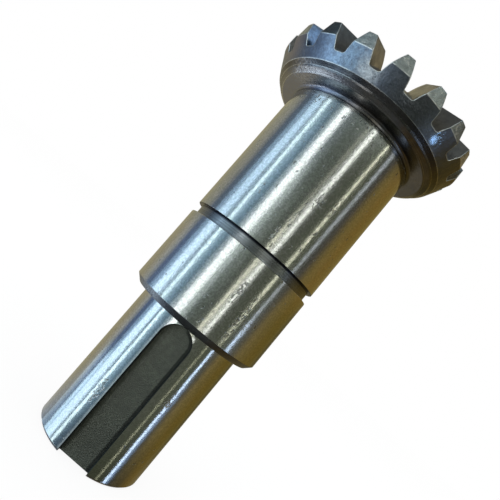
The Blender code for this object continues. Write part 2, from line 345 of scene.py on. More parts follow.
# radius, station and length of the soft corner in mm, then the zone of the surface after it, and wear
SHAFT_CORNERS = [
    (0, HOLE_TIP, 0, FACE, 0),
    (DRILL, DRILL_DEPTH, 0.1, FACE, 0),
    (DRILL, HOLE_CONE, 0.1, FACE, 0),
    (MOUTH, 0, 0.1, FACE, 1),
    (16.7, 0, 0.12, SCALE, 0.15),
    (JOURNAL, 0.8, 0.12, GROUND, 0.05),
    (JOURNAL, SHOULDER, 0.4, SCALE, 0),
    (20.6, SHOULDER, 0.12, SCALE, 0.2),
    (SEAT, 48.1, 0.12, GROUND, 0.2),
    (SEAT, GROOVE_LOW, 0.18, SCALE, 0.4),
    (GROOVE, GROOVE_LOW, 0.3, SCALE, 0),
    (GROOVE, GROOVE_HIGH, 0.3, SCALE, 0),
    (SEAT, GROOVE_HIGH, 0.18, GROUND, 0.4),
    (SEAT, 120.95, 0.1, BACK, 0),
    (RELIEF, 121.2, 0.1, BACK, 0),
    (RELIEF, BACK_RING, 1.2, BACK, 0),
    (27.3, BACK_RING, 0.15, BACK, 0),
    (27.6, 122.6, 0.1, BACK, 0.6),
    (29.05, 123.3, 0.12, BACK, 0),
    (29.3, 123.75, 0.12, BACK, 0.5),
    (RIM[0], RIM[1], 0.16, CONE, 1),
    (ABOVE_RIM[0], ABOVE_RIM[1], 0, CONE, 0),
]
FRONT_CORNERS = [
    (FRONT[0] + 0.6 * math.cos(PITCH_ANGLE), FRONT[1] + 0.6 * math.sin(PITCH_ANGLE), 0, FACE, 0),
    (FRONT[0], FRONT[1], 0.4, FACE, 0),
    (MOUTH, FRONT[1], 0.1, FACE, 1),
    (DRILL, FRONT[1] - HOLE_CONE, 0.1, FACE, 0),
    (DRILL, FRONT[1] - DRILL_DEPTH, 0.1, FACE, 0),
    (0, FRONT[1] - HOLE_TIP, 0, FACE, 0),
]

# %% Turn the profile
CORNER_STEPS, FILLET_STEPS = 4, 10
FILLET_OVER = 1  # mm; a soft corner longer than this is a fillet


def turned_block(corners):
    """Rows round the axis for a profile whose inner corners are turned by turn_corner, with wear and zones."""
    points = np.array([c[:2] for c in corners], float) * MM
    profile, wear, zones = [points[:1]], [0.0], [corners[0][3]]
    for i in range(1, len(points) - 1):
        _, _, cut, zone, worn = corners[i]
        steps = FILLET_STEPS if cut > FILLET_OVER else CORNER_STEPS
        before = points[i] + unit(points[i - 1] - points[i]) * cut * MM
        after = points[i] + unit(points[i + 1] - points[i]) * cut * MM
        profile.append(turn_corner(before, points[i], after, steps))
        wear.extend(worn * edge_wear(steps))
        zones.extend([corners[i - 1][3]] * (steps // 2) + [zone] * (steps - steps // 2))
    profile = np.concatenate([*profile, points[-1:]])
    rows = rows_of(profile[:, :1], profile[:, 1:], AROUND[None])
    wear = np.repeat(np.array([*wear, 0.0])[:, None], COLUMNS, 1)
    return rows, wear, np.array([*zones, corners[-1][3]])


blocks = [turned_block(SHAFT_CORNERS)]
blocks += [(rows, wear, np.full(len(rows), zone)) for rows, wear, zone in gear_blocks]
blocks += [turned_block(FRONT_CORNERS)]
print("rows:", [len(block[0]) for block in blocks])

# %% [markdown]
# ## One skin
#
# All the rows share the same columns, so the whole shaft is a single grid:
# every row is joined to the next, and the last column to the first. Rows that
# meet in a tooth space fall onto each other there, and are merged away.

# %% Join the rows into one mesh
SAME_POINT = 1e-7  # metres


def grid_faces(rows, columns):
    """Quads of a grid closed round: (i, j), (i, j+1), (i+1, j+1), (i+1, j), with j running back to 0."""
    i, j = np.meshgrid(np.arange(rows - 1), np.arange(columns), indexing="ij")
    k = (j + 1) % columns
    quads = np.stack([i * columns + j, i * columns + k, (i + 1) * columns + k, (i + 1) * columns + j], -1)
    return quads.reshape(-1, 4)


def steel_mesh(name, points, faces, zones, wear):
    """A mesh with a zone for each face and wear for each point, doubles merged and faces turned outwards."""
    mesh = bpy.data.meshes.new(name)
    mesh.from_pydata(points.tolist(), [], faces)
    mesh.polygons.foreach_set("material_index", np.asarray(zones, np.int32))
    mesh.attributes.new("wear", "FLOAT", "POINT").data.foreach_set("value", np.asarray(wear, np.float32))
    work = bmesh.new()
    work.from_mesh(mesh)
    bmesh.ops.remove_doubles(work, verts=work.verts, dist=SAME_POINT)
    bmesh.ops.dissolve_degenerate(work, dist=SAME_POINT, edges=work.edges)
    bmesh.ops.recalc_face_normals(work, faces=work.faces)
    work.to_mesh(mesh)
    work.free()
    return mesh


all_rows = np.concatenate([block[0] for block in blocks])
all_wear = np.concatenate([block[1] for block in blocks])
all_zones = np.concatenate([block[2] for block in blocks])
skin_mesh = steel_mesh(
    "pinion_shaft_skin",
    all_rows.reshape(-1, 3),
    grid_faces(len(all_rows), COLUMNS).tolist(),
    np.repeat(all_zones[:-1], COLUMNS),
    all_wear.ravel(),
)
print(len(skin_mesh.vertices), "points,", len(skin_mesh.polygons), "faces")

# %% [markdown]
# ## The keyway
#
# An end mill cut the keyway, so it has a flat floor, straight walls and a round
# end, and a file broke its edges. The cutter is the mill's path, drawn at seven
# depths: a small radius at the floor, straight walls, and a flare that follows
# the round surface and leaves the broken edge. The skin's columns don't follow
# the slot's walls, so an exact Boolean takes it out and leaves clean new edges.

# %% The mill's path as a cutter
KEY_HALF = 5.0 * MM
KEY_END = 45.7 * MM - KEY_HALF  # middle of the round end
KEY_FLOOR = -14.1 * MM
KEYED_END = JOURNAL * MM
BROKEN_EDGE = 0.12 * MM
FLOOR_CORNER = 0.3 * MM
PAST_THE_METAL = 3 * MM
ROUND_STEPS, FLOOR_STEPS = 40, 4


def mill_path(wider):
    """The slot's outline, wider by the given length: up one side, half a turn round the end, down the other."""
    half = KEY_HALF + wider
    turn = np.linspace(math.pi, 0, ROUND_STEPS)
    x = np.concatenate([[-half], half * np.cos(turn), [half]])
    z = np.concatenate([[-PAST_THE_METAL], KEY_END + half * np.sin(turn), [-PAST_THE_METAL]])
    return x, z


def keyway_cutter():
    """Rings of the mill's path: each ring's depth and width make the floor's radius, the walls and the flare."""
    rings, wear = [], []
    for turn in np.linspace(0, math.pi / 2, FLOOR_STEPS):
        x, z = mill_path(-FLOOR_CORNER * (1 - math.sin(turn)))
        depth = KEY_FLOOR - FLOOR_CORNER * (1 - math.cos(turn))
        rings.append(np.stack([x, np.full_like(x, depth), z], 1))
        wear.append(0)
    for wider in (0, 2 * BROKEN_EDGE):
        x, z = mill_path(wider)
        surface = -np.sqrt(KEYED_END**2 - np.minimum(np.abs(x), KEY_HALF) ** 2)
        rings.append(np.stack([x, surface + BROKEN_EDGE - wider, z], 1))
        wear.append(1)
    rings.append(rings[-1] * (1, 0, 1) - (0, KEYED_END + PAST_THE_METAL, 0))
    wear.append(1)
    around = len(rings[0])
    faces = grid_faces(len(rings), around).tolist()
    faces += [list(range(around)), list(range((len(rings) - 1) * around, len(rings) * around))]
    points = np.concatenate(rings)
    return steel_mesh("keyway_cutter", points, faces, np.full(len(faces), KEYWAY), np.repeat(wear, around))


# %% Take the keyway out of the skin
finishes = [bpy.data.materials.new(name + "_steel") for name in ZONE_NAMES]


def cut_with(mesh, cutter_mesh):
    """The mesh less the cutter, by an exact Boolean, as a new mesh."""
    for data in (mesh, cutter_mesh):
        for finish in finishes:
            data.materials.append(finish)
    body = bpy.data.objects.new("body", mesh)
    cutter = bpy.data.objects.new("cutter", cutter_mesh)
    for thing in (body, cutter):
        bpy.context.scene.collection.objects.link(thing)
    boolean = body.modifiers.new("keyway", "BOOLEAN")
    boolean.object = cutter
    boolean.solver = "EXACT"
    bpy.context.view_layer.update()
    result = bpy.data.meshes.new_from_object(body.evaluated_get(bpy.context.evaluated_depsgraph_get()))
    for thing in (body, cutter):
        bpy.data.objects.remove(thing)
    return result


shaft_mesh = cut_with(skin_mesh, keyway_cutter())
print("cut:", len(skin_mesh.polygons), "faces became", len(shaft_mesh.polygons))

# %% The shaft's object
SHARP_ANGLE, FLATNESS = math.radians(32), 60
shaft_mesh.name = "pinion_shaft_steel"
shaft_mesh.shade_smooth()
shaft_mesh.set_sharp_from_angle(angle=SHARP_ANGLE)
shaft = bpy.data.objects.new("pinion_shaft_steel", shaft_mesh)
bpy.context.scene.collection.objects.link(shaft)
weighted = shaft.modifiers.new("flat faces stay flat", "WEIGHTED_NORMAL")
weighted.keep_sharp = True
weighted.weight = FLATNESS
zones = np.zeros(len(shaft_mesh.polygons), np.int32)
shaft_mesh.polygons.foreach_get("material_index", zones)
counts = np.bincount(zones, minlength=len(ZONE_NAMES)).tolist()
wear = np.zeros(len(shaft_mesh.vertices), np.float32)
shaft_mesh.attributes["wear"].data.foreach_get("value", wear)
print(len(zones), "faces by zone:", dict(zip(ZONE_NAMES, counts)), "worn points:", int((wear > 0.5).sum()))

# %% [markdown]
# ## Shared effects
#
# Every finish on this shaft is steel with something done to it, so the doings
# are built once, as node groups: where a point lies on the shaft, the fine
# rings that a lathe or a grinding wheel leaves, clouds of stain, small dents
# from handling, and edges worn bright. Each finish then mixes its own.

# %% Helpers for node trees


def add(tree, kind, inputs=None, **settings):
    """A shader node with its settings, and with each named or numbered input set or linked."""
    node = tree.nodes.new("ShaderNode" + kind)
    for name, value in settings.items():
        setattr(node, name, value)
    for key, value in (inputs or {}).items():
        if isinstance(value, bpy.types.NodeSocket):
            tree.links.new(value, node.inputs[key])
        else:
            node.inputs[key].default_value = value
    return node


def math_node(tree, operation, a, b=0.0, c=0.0):
    """The output of one Math node."""
    return add(tree, "Math", {0: a, 1: b, 2: c}, operation=operation).outputs[0]


def smooth_step(tree, value, low, high, to_low=0.0, to_high=1.0):
    """Maps value from low..high to to_low..to_high along 3t^2 - 2t^3."""
    inputs = {"Value": value, "From Min": low, "From Max": high, "To Min": to_low, "To Max": to_high}
    return add(tree, "MapRange", inputs, interpolation_type="SMOOTHSTEP").outputs["Result"]


def mix_colours(tree, factor, first, second):
    """The first colour at factor 0 and the second at 1; each is a colour or a socket."""

    def colour(value):
        return value if isinstance(value, bpy.types.NodeSocket) else (*value, 1)

    node = add(tree, "Mix", {0: factor, 6: colour(first), 7: colour(second)}, data_type="RGBA")
    return node.outputs[2]


def mix_values(tree, factor, first, second):
    """The first value at factor 0 and the second at 1."""
    return add(tree, "Mix", {0: factor, 2: first, 3: second}, data_type="FLOAT").outputs[0]


def new_group(name, inputs, outputs):
    """An empty node group with its sockets, given as name: (kind, default) or name: kind."""
    print("group:", name, "- takes", list(inputs), "- gives", list(outputs))
    tree = bpy.data.node_groups.new(name, "ShaderNodeTree")
    for socket, (kind, default) in inputs.items():
        made = tree.interface.new_socket(socket, in_out="INPUT", socket_type="NodeSocket" + kind)
        if default is not None:
            made.default_value = default
    for socket, kind in outputs.items():
        tree.interface.new_socket(socket, in_out="OUTPUT", socket_type="NodeSocket" + kind)
    return tree, tree.nodes.new("NodeGroupInput").outputs, tree.nodes.new("NodeGroupOutput").inputs


def use_group(tree, group, **inputs):
    """Places a group in a tree; spaces in socket names are written as underscores."""
    node = tree.nodes.new("ShaderNodeGroup")
    node.node_tree = group
    for key, value in inputs.items():
        socket = node.inputs[key.replace("_", " ")]
        if isinstance(value, bpy.types.NodeSocket):
            tree.links.new(value, socket)
        else:
            socket.default_value = value
    return node.outputs


# %% Group: where a point lies on the shaft
where_on_shaft, _, out = new_group(
    "where_on_shaft", {}, {"Place": "Vector", "Turned": "Vector", "Radius": "Float", "Station": "Float"}
)
tree = where_on_shaft
coordinates = add(tree, "TexCoord").outputs["Object"]
in_mm = add(tree, "VectorMath", {0: coordinates, "Scale": 1 / MM}, operation="SCALE").outputs[0]
flat = add(tree, "VectorMath", {0: in_mm, 1: (1, 1, 0)}, operation="MULTIPLY").outputs[0]
radius = add(tree, "VectorMath", {0: flat}, operation="LENGTH").outputs["Value"]
outward = add(tree, "SeparateXYZ", {0: add(tree, "VectorMath", {0: flat}, operation="NORMALIZE").outputs[0]})
station = add(tree, "SeparateXYZ", {0: in_mm}).outputs[2]
# station plus radius grows along every cone, cylinder and face of the shaft
along = math_node(tree, "ADD", station, radius)
turned = add(tree, "CombineXYZ", {0: outward.outputs[0], 1: outward.outputs[1], 2: along})
tree.links.new(in_mm, out["Place"])
tree.links.new(turned.outputs[0], out["Turned"])
tree.links.new(radius, out["Radius"])
tree.links.new(station, out["Station"])

# %% Group: rings left by the lathe or the wheel
turning_rings, given, out = new_group(
    "turning_rings",
    {"Turned": ("Vector", None), "Spacing": ("Float", 0.3), "Broken": ("Float", 3.0)},
    {"Height": "Float"},
)
tree = turning_rings
finer = math_node(tree, "DIVIDE", 1.0, given["Spacing"])
stretch = add(tree, "CombineXYZ", {0: given["Broken"], 1: given["Broken"], 2: finer}).outputs[0]
pattern = add(tree, "VectorMath", {0: given["Turned"], 1: stretch}, operation="MULTIPLY").outputs[0]
noise = add(tree, "TexNoise", {"Vector": pattern, "Scale": 1.0, "Detail": 3.0, "Roughness": 0.6})
tree.links.new(noise.outputs[0], out["Height"])

# %% Group: clouds of stain
stain_clouds, given, out = new_group(
    "stain_clouds",
    {
        "Place": ("Vector", None),
        "Size": ("Float", 4.0),
        "Cover": ("Float", 0.5),
        "Softness": ("Float", 0.15),
        "Detail": ("Float", 5.0),
    },
    {"Mask": "Float"},
)
tree = stain_clouds
scale = math_node(tree, "DIVIDE", 1.0, given["Size"])
noise = add(
    tree, "TexNoise", {"Vector": given["Place"], "Scale": scale, "Detail": given["Detail"], "Roughness": 0.62}
).outputs[0]
level = math_node(tree, "SUBTRACT", 1.0, given["Cover"])
level = add(tree, "MapRange", {"Value": level, "To Min": 0.25, "To Max": 0.75}).outputs[0]
low = math_node(tree, "SUBTRACT", level, given["Softness"])
high = math_node(tree, "ADD", level, given["Softness"])
tree.links.new(smooth_step(tree, noise, low, high), out["Mask"])

# %% Group: small dents
small_dents, given, out = new_group(
    "small_dents",
    {"Place": ("Vector", None), "Spacing": ("Float", 1.0), "Share": ("Float", 0.3)},
    {"Mask": "Float"},
)
tree = small_dents
scale = math_node(tree, "DIVIDE", 1.0, given["Spacing"])
wobble = add(tree, "TexNoise", {"Vector": given["Place"], "Scale": 1.1, "Detail": 3.0}).outputs["Color"]
pushed = add(tree, "VectorMath", {0: wobble, 1: (1.1, 1.1, 1.1), 2: given["Place"]}, operation="MULTIPLY_ADD")
longer = add(tree, "VectorMath", {0: pushed.outputs[0], 1: (1, 1, 0.5)}, operation="MULTIPLY").outputs[0]
cells = add(tree, "TexVoronoi", {"Vector": longer, "Scale": scale}, feature="F1")
chance = add(tree, "SeparateColor", {0: cells.outputs["Color"]})
kept = math_node(tree, "LESS_THAN", chance.outputs[0], given["Share"])
reach = add(tree, "MapRange", {"Value": chance.outputs[1], "To Min": 0.3, "To Max": 0.75}).outputs[0]
inside = smooth_step(tree, math_node(tree, "DIVIDE", cells.outputs["Distance"], reach), 1.0, 0.5)
tree.links.new(math_node(tree, "MULTIPLY", inside, kept), out["Mask"])

# %% Group: a bruised patch
bruised_patch, given, out = new_group(
    "bruised_patch",
    {"Place": ("Vector", None), "Middle": ("Vector", (0, 0, 0)), "Reach": ("Vector", (1, 1, 1))},
    {"Mask": "Float"},
)
tree = bruised_patch
apart = add(tree, "VectorMath", {0: given["Place"], 1: given["Middle"]}, operation="SUBTRACT").outputs[0]
apart = add(tree, "VectorMath", {0: apart, 1: given["Reach"]}, operation="DIVIDE").outputs[0]
apart = add(tree, "VectorMath", {0: apart}, operation="LENGTH").outputs["Value"]
tree.links.new(smooth_step(tree, apart, 1.0, 0.3), out["Mask"])

# %% Group: edges worn bright
worn_edges, given, out = new_group(
    "worn_edges",
    {
        "Place": ("Vector", None),
        "Colour": ("Color", (0.5, 0.5, 0.5, 1)),
        "Bright": ("Color", (0.9, 0.9, 0.87, 1)),
        "Roughness": ("Float", 0.3),
        "Wear": ("Float", 1.0),
    },
    {"Colour": "Color", "Roughness": "Float"},
)
tree = worn_edges
worn = add(tree, "Attribute", attribute_name="wear").outputs["Fac"]
patchy = add(tree, "TexNoise", {"Vector": given["Place"], "Scale": 0.5, "Detail": 4.0}).outputs[0]
patchy = smooth_step(tree, patchy, 0.35, 0.6, 0.5, 1.0)
mask = math_node(tree, "MULTIPLY", math_node(tree, "MULTIPLY", worn, patchy), given["Wear"])
tree.links.new(mix_colours(tree, mask, given["Colour"], given["Bright"]), out["Colour"])
tree.links.new(mix_values(tree, mask, given["Roughness"], 0.42), out["Roughness"])
print(len(bpy.data.node_groups), "groups")

# %% [markdown]
# ## Finishes
#
# The finishes follow what was done to each surface, and each is one material
# on its own zone of the skin. All are metal, so a stain is a darker base
# colour and a rougher surface. A patch that sits in one place on the real
# shaft is a soft ball in space, given by its middle and reach in millimetres.

# %% Open and close a finish


def open_finish(name):
    """The finish's tree, cleared down to one metal Principled shader, and where-on-the-shaft sockets."""
    finish = finishes[ZONE_NAMES.index(name)]
    finish.use_nodes = True
    print("finish:", finish.name)
    shader = finish.node_tree.nodes["Principled BSDF"]
    shader.inputs["Metallic"].default_value = 1
    return finish.node_tree, shader, use_group(finish.node_tree, where_on_shaft)


def clouds(tree, place, size, cover=0.5, softness=0.2):
    """A mask of stain clouds, their size in mm and their cover as a share of the surface."""
    return use_group(tree, stain_clouds, Place=place["Place"], Size=size, Cover=cover, Softness=softness)["Mask"]


def rings(tree, place, spacing, broken):
    """Heights of turned rings, their spacing in mm; broken is how often they change round the shaft."""
    return use_group(tree, turning_rings, Turned=place["Turned"], Spacing=spacing, Broken=broken)["Height"]


def grain(tree, place, per_mm, detail=4.0):
    """Plain noise with so many lumps to a millimetre."""
    return add(tree, "TexNoise", {"Vector": place["Place"], "Scale": per_mm, "Detail": detail}).outputs[0]


def bruise(tree, place, middle, reach):
    """A mask of one patch: 1 in its middle, 0 past its reach, both in mm."""
    return use_group(tree, bruised_patch, Place=place["Place"], Middle=middle, Reach=reach)["Mask"]


def close_finish(tree, shader, place, colour, roughness, heights, wear=1.0):
    """Wears the edges, and adds up the heights, each a pattern and its depth in mm, into a bump."""
    worn = use_group(tree, worn_edges, Place=place["Place"], Colour=colour, Roughness=roughness, Wear=wear)
    tree.links.new(worn["Colour"], shader.inputs["Base Color"])
    tree.links.new(worn["Roughness"], shader.inputs["Roughness"])
    total = 0.0
    for pattern, depth in heights:
        total = math_node(tree, "MULTIPLY_ADD", pattern, depth, total)
    bump = add(tree, "Bump", {"Strength": 1.0, "Distance": MM, "Height": total})
    tree.links.new(bump.outputs[0], shader.inputs["Normal"])


# %% [markdown]
# ### Ground steel
#
# The seats and the keyed end were ground, so they are the only bright surfaces,
# and what shows on them is the room. Grinding leaves rings too fine to see one
# by one; they only widen each reflection. Handling has left small dents in
# patches, each with a dark floor, and they break up the lines of light. They
# are cells of a random pattern, of which only a share is kept, so no two are
# alike and none has to be drawn.

# %% Ground steel: the seats and the keyed end
tree, shader, place = open_finish("ground")
cloud = clouds(tree, place, 7.0, cover=0.45, softness=0.3)
fine = grain(tree, place, 3.2, detail=3.0)
colour = mix_colours(tree, cloud, (0.68, 0.68, 0.67), (0.60, 0.60, 0.59))
tint = clouds(tree, place, 1.1, softness=0.1)
colour = mix_colours(tree, tint, colour, (0.58, 0.60, 0.56))
# the keyed end was ground finer than the seats
on_seats = smooth_step(tree, place["Station"], 46.0, 48.0)
roughness = mix_values(tree, on_seats, 0.09, mix_values(tree, cloud, 0.12, 0.15))
# the ground surface ends in a ragged dark fringe where the relief starts
ragged = math_node(tree, "ADD", place["Station"], math_node(tree, "MULTIPLY_ADD", fine, 2.4, -1.2))
fringe = smooth_step(tree, ragged, 120.7, 121.0)
colour = mix_colours(tree, fringe, colour, (0.06, 0.06, 0.07))
roughness = mix_values(tree, fringe, roughness, 0.4)
BRUISES = [  # middle and reach in mm
    ((5.6, -21.8, 95.3), (1.7, 5, 6.5)),
    ((10.0, -20.1, 97.0), (1.1, 5, 5.0)),
    ((10.3, -20.0, 87.0), (1.0, 5, 2.5)),
    ((3.2, -22.3, 87.5), (0.8, 5, 6.0)),
    ((1.6, -22.4, 80.5), (0.8, 5, 3.5)),
    ((4.7, -22.0, 62.5), (1.3, 5, 6.0)),
    ((9.4, -20.5, 57.0), (1.1, 5, 12.0)),
    ((9.5, -14.7, 27.4), (1.3, 4, 4.5)),
    ((-7.0, -16.0, 18.4), (1.3, 4, 5.5)),
    ((-1.3, -22.5, 56.0), (0.6, 4, 0.9)),
]
patches = 0.0
for middle, reach in BRUISES:
    patches = math_node(tree, "MAXIMUM", bruise(tree, place, middle, reach), patches)
# the share of cells that hold a dent: nearly all in a bruise, more near the gear, few elsewhere
share = math_node(tree, "MULTIPLY_ADD", patches, 1.1, 0.012)
share = math_node(tree, "MAXIMUM", share, smooth_step(tree, place["Station"], 114.0, 120.5, 0.0, 0.2))
dents = use_group(tree, small_dents, Place=place["Place"], Spacing=0.5, Share=share)["Mask"]
colour = mix_colours(tree, math_node(tree, "MULTIPLY", dents, 0.65), colour, (0.12, 0.115, 0.09))
speckle = smooth_step(tree, grain(tree, place, 2.2, detail=2.0), 0.38, 0.62, 0.0, 0.5)
colour = mix_colours(tree, speckle, colour, (0.40, 0.40, 0.39))
peel = grain(tree, place, 0.55, detail=2.0)
heights = [(peel, 0.016), (fine, 0.010), (rings(tree, place, 0.25, 4.0), 0.003), (dents, -0.07)]
close_finish(tree, shader, place, colour, roughness, heights, wear=0.35)

# %% [markdown]
# ### Dark skin
#
# The grinding wheel never touched the relief groove and the chamfers, so they
# kept the turned surface with the dark skin of heat treatment. Turned rings
# show there as fine lines in colour and in height, and painted shade darkens the groove's upper corner and the
# chamfers.
# The rings are noise drawn out round the axis, which shows no seam anywhere.

# %% Dark skin: the groove and the chamfers
tree, shader, place = open_finish("scale")
cloud = clouds(tree, place, 3.0, softness=0.25)
turned = rings(tree, place, 0.3, 1.2)
colour = mix_colours(tree, cloud, (0.27, 0.29, 0.30), (0.20, 0.215, 0.22))
colour = mix_colours(tree, smooth_step(tree, turned, 0.35, 0.65), colour, (0.15, 0.155, 0.16))
# painted shade: a dark line in the groove's upper corner where the wall's shadow falls, and dark bands on the end's
# chamfer and on the shoulder's
painted_shade = smooth_step(tree, math_node(tree, "ABSOLUTE", math_node(tree, "SUBTRACT", place["Station"], 75.5)), 0.6, 0.25)
painted_shade = math_node(tree, "MAXIMUM", painted_shade, smooth_step(tree, place["Station"], 1.1, 0.7, 0.0, 0.75))
chamfer = math_node(tree, "ABSOLUTE", math_node(tree, "SUBTRACT", place["Station"], 47.2))
painted_shade = math_node(tree, "MAXIMUM", painted_shade, smooth_step(tree, chamfer, 1.3, 0.9, 0.0, 0.45))
colour = mix_colours(tree, painted_shade, colour, (0.02, 0.022, 0.03))
close_finish(tree, shader, place, colour, mix_values(tree, cloud, 0.24, 0.32), [(turned, 0.03)], wear=0.5)

# %% [markdown]
# ### Hardening colours
#
# The gear's back is brown and blue-black from the heat of hardening. One side
# is painted lighter, as lit, with a painted blue reflection in the fillet and its
# turned steps brighter, partly worn and partly painted highlight; the other side and
# the band towards the rim are painted darker, as shade. Both go by how far a point
# lies from the axis and to which side, so those two numbers choose the colour.

# %% Hardening colours: the gear's back
tree, shader, place = open_finish("back")
cloud = clouds(tree, place, 6.0)
small = clouds(tree, place, 1.4)
colour = mix_colours(tree, cloud, (0.23, 0.215, 0.20), (0.15, 0.16, 0.18))
colour = mix_colours(tree, math_node(tree, "MULTIPLY", small, 0.5), colour, (0.13, 0.11, 0.10))
# painted light on one side, with a painted blue reflection in the fillet there; painted shade on the other side and
# towards the rim
side = add(tree, "SeparateXYZ", {0: place["Place"]}).outputs[0]
painted_lit_side = smooth_step(tree, side, -4.0, -16.0, 0.0, 0.6)
painted_lit_side = math_node(tree, "MULTIPLY", painted_lit_side, smooth_step(tree, place["Radius"], 29.2, 27.6))
fillet = smooth_step(tree, place["Radius"], 23.4, 22.6)
colour = mix_colours(tree, painted_lit_side, colour, mix_colours(tree, fillet, (0.31, 0.30, 0.30), (0.24, 0.27, 0.36)))
painted_darkening = smooth_step(tree, side, 6.0, 16.0, 0.0, 0.35)
painted_darkening = math_node(tree, "MAXIMUM", painted_darkening, smooth_step(tree, place["Radius"], 29.0, 29.7, 0.0, 0.45))
colour = mix_colours(tree, painted_darkening, colour, (0.06, 0.058, 0.06))
scuff = bruise(tree, place, (-21.5, -16.5, 122.5), (9, 9, 8))
scraped = math_node(tree, "MULTIPLY", scuff, clouds(tree, place, 0.8, cover=0.4))
colour = mix_colours(tree, scraped, colour, (0.5, 0.48, 0.47))
heights = [(small, 0.02), (rings(tree, place, 0.5, 1.0), 0.06), (scraped, 0.03)]
roughness = mix_values(tree, painted_lit_side, mix_values(tree, small, 0.18, 0.27), 0.15)
# edges are brighter on the lit side: partly wear, partly painted highlight
wear = smooth_step(tree, side, -4.0, -16.0, 0.35, 1.0)
close_finish(tree, shader, place, colour, roughness, heights, wear=wear)

# %% [markdown]
# ### Mottled skin
#
# The back cone is clouded blue-grey. Two places on it are wiped cleaner, one
# side is painted darker, as shade, one is violet, and one spot was knocked and
# polished, so that it alone mirrors a light; its pale blue colour is a painted
# glint. Two sizes of cloud make the mottling, and the places are laid over it
# one by one.

# %% Mottled skin: the back cone
tree, shader, place = open_finish("cone")
cloud = clouds(tree, place, 5.0)
small = clouds(tree, place, 1.3, cover=0.42, softness=0.22)
colour = mix_colours(tree, cloud, (0.23, 0.26, 0.31), (0.15, 0.175, 0.22))
wiped = bruise(tree, place, (-12, -28, 127), (12, 12, 12))
colour = mix_colours(tree, wiped, colour, (0.31, 0.385, 0.48))
cleaned = bruise(tree, place, (-7, -31, 126.5), (5, 5, 5))
colour = mix_colours(tree, cleaned, colour, (0.46, 0.50, 0.53))
speckle = smooth_step(tree, grain(tree, place, 1.8, detail=2.0), 0.38, 0.62, -0.3, 0.3)
colour = mix_colours(tree, speckle, colour, (0.10, 0.12, 0.16))
colour = mix_colours(tree, math_node(tree, "MULTIPLY", small, 0.6), colour, (0.11, 0.115, 0.14))
# painted shade: the cone is darker towards the side away from the light
painted_darkening = smooth_step(tree, add(tree, "SeparateXYZ", {0: place["Place"]}).outputs[0], -4.0, 8.0, 0.0, 0.45)
colour = mix_colours(tree, painted_darkening, colour, (0.10, 0.095, 0.085))
violet = math_node(tree, "MULTIPLY", bruise(tree, place, (-30.5, -12, 129), (8, 10, 8)), 0.8)
colour = mix_colours(tree, violet, colour, (0.30, 0.265, 0.28))
# one spot was knocked and polished: smooth in its middle, and a few sparks round it; their pale blue colour is a
# painted glint
spot = bruise(tree, place, (18.0, -25.8, 126.3), (1.5, 4, 1.5))
sparks = smooth_step(tree, grain(tree, place, 1.6), 0.53, 0.62)
sparks = math_node(tree, "MULTIPLY", bruise(tree, place, (18.4, -26.2, 127.0), (2.6, 4, 3.0)), sparks)
polish_and_painted_glint = math_node(tree, "MAXIMUM", spot, sparks)
roughness = mix_values(tree, polish_and_painted_glint, mix_values(tree, small, 0.28, 0.38), 0.12)
colour = mix_colours(tree, polish_and_painted_glint, colour, (0.52, 0.74, 1.0))
rough = math_node(tree, "MULTIPLY", grain(tree, place, 2.2), mix_values(tree, spot, 0.05, 0.012))
heights = [(small, 0.03), (cloud, 0.05), (rough, 1.0)]
close_finish(tree, shader, place, colour, roughness, heights)

# %% [markdown]
# ### Rough skin
#
# The crown was turned and the flanks were cut, and neither was ground, so both
# are dull, with a coarse grain in their height. One flank is blued by heat; one
# tooth's crown is painted nearly black and one flank dark brown, as painted shade.
# The grain is finer than the rows of the skin, so it is bump and not shape.

# %% Rough skin: the crown
tree, shader, place = open_finish("crown")
small = clouds(tree, place, 1.6, cover=0.45, softness=0.25)
colour = mix_colours(tree, small, (0.44, 0.47, 0.45), (0.29, 0.305, 0.295))
streaks = smooth_step(tree, grain(tree, place, 0.9), 0.55, 0.7)
colour = mix_colours(tree, streaks, colour, (0.62, 0.62, 0.58))
# painted shade: one tooth's crown nearly black and the next a little darker, and their edges less worn bright
painted_shade_patch = bruise(tree, place, (-22.3, -26.0, 132.8), (6.5, 6, 6))
faint = math_node(tree, "MULTIPLY", bruise(tree, place, (-12.5, -31.5, 133.2), (6, 5, 6)), 0.25)
painted_shade_patch = math_node(tree, "MAXIMUM", math_node(tree, "MULTIPLY", painted_shade_patch, 0.9), faint)
colour = mix_colours(tree, painted_shade_patch, colour, (0.05, 0.055, 0.06))
wear = mix_values(tree, painted_shade_patch, 1.0, 0.3)
roughness = mix_values(tree, small, 0.3, 0.42)
close_finish(tree, shader, place, colour, roughness, [(grain(tree, place, 2.5), 0.15)], wear=wear)

# %% Rough skin: the flanks
tree, shader, place = open_finish("flank")
small = clouds(tree, place, 3.0, cover=0.45, softness=0.25)
colour = mix_colours(tree, small, (0.38, 0.375, 0.36), (0.25, 0.25, 0.245))
blued = bruise(tree, place, (-27.0, -18.0, 131.5), (6, 5, 7))
mottled = mix_colours(tree, clouds(tree, place, 1.3, softness=0.2), (0.58, 0.74, 1.0), (0.32, 0.42, 0.62))
colour = mix_colours(tree, blued, colour, mottled)
colour = mix_colours(tree, bruise(tree, place, (-25.9, -18.8, 128.5), (1.8, 3, 1.9)), colour, (0.06, 0.08, 0.11))
# painted shade: one flank painted dark brown
painted_brown_shade = bruise(tree, place, (31.5, -9.0, 131.0), (6, 6, 6))
colour = mix_colours(tree, painted_brown_shade, colour, (0.17, 0.13, 0.07))
close_finish(tree, shader, place, colour, mix_values(tree, small, 0.34, 0.44), [(grain(tree, place, 1.5), 0.12)])

# %% [markdown]
# ### Turned and milled steel
#
# The end faces are plainly turned. The keyway's skin is the dullest of all: a
# mill's grain under scale and old oil, with painted shade along the walls. How
# far a point lies from the slot's middle line says how near a wall is, round
# the end of the slot too.

